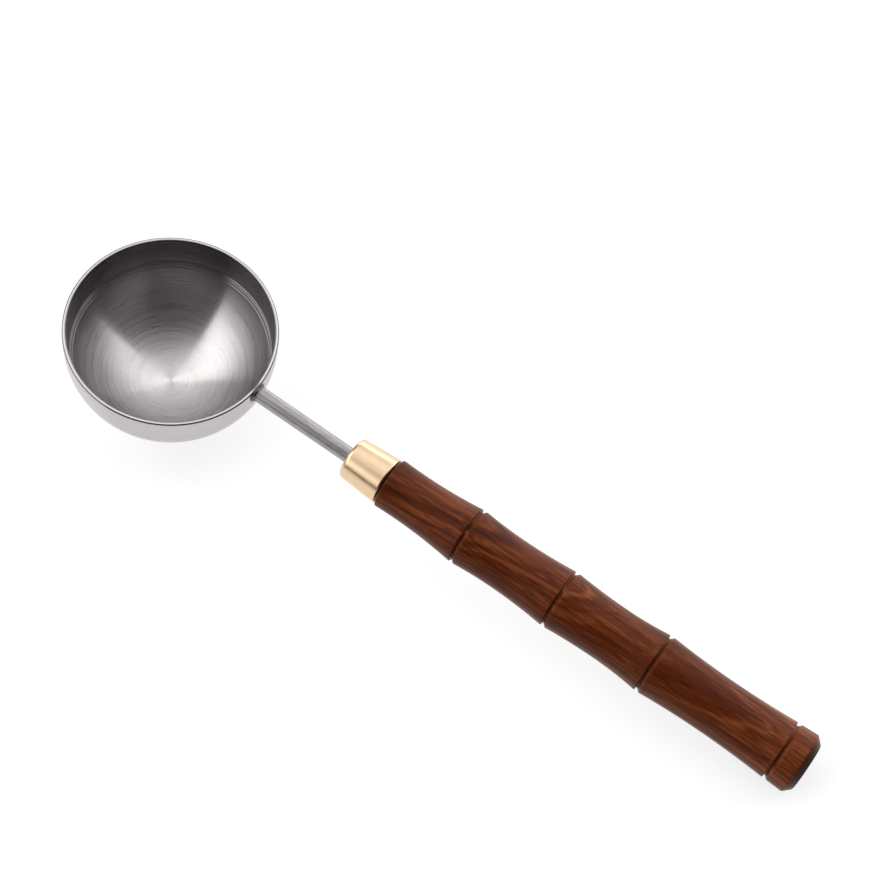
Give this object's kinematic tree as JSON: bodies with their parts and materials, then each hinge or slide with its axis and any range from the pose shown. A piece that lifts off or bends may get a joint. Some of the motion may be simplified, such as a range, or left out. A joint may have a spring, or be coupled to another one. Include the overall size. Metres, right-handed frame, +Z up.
{
  "type": "coffee scoop",
  "caption": "Long coffee scoop: deep round steel bowl on a thin steel neck, tapered brass ferrule and a turned hardwood handle shaped like bamboo cane.",
  "frame": {"origin": "on the table, under the middle of the scoop's box as it lies at rest on the bowl's bottom and the handle's far end", "axes": "+X along the scoop from the bowl to the handle's end, +Y across it, +Z up from the table"},
  "size_m": [0.1988, 0.05, 0.0284],
  "materials": {
    "spun_steel": "spun stainless steel with fine concentric turning marks, buffed lip",
    "rod_steel": "satin drawn stainless steel",
    "weld_steel": "small weld fillet, darkened by heat",
    "pale_brass": "satin polished pale brass",
    "red_brown_wood": "oiled red-brown hardwood with lengthwise grain and dark pores"
  },
  "bodies": {
    "root": {"bowl": "spun_steel", "neck_rod": "rod_steel", "weld_bead": "weld_steel", "ferrule": "pale_brass", "handle": "red_brown_wood"}
  },
  "joints": []
}
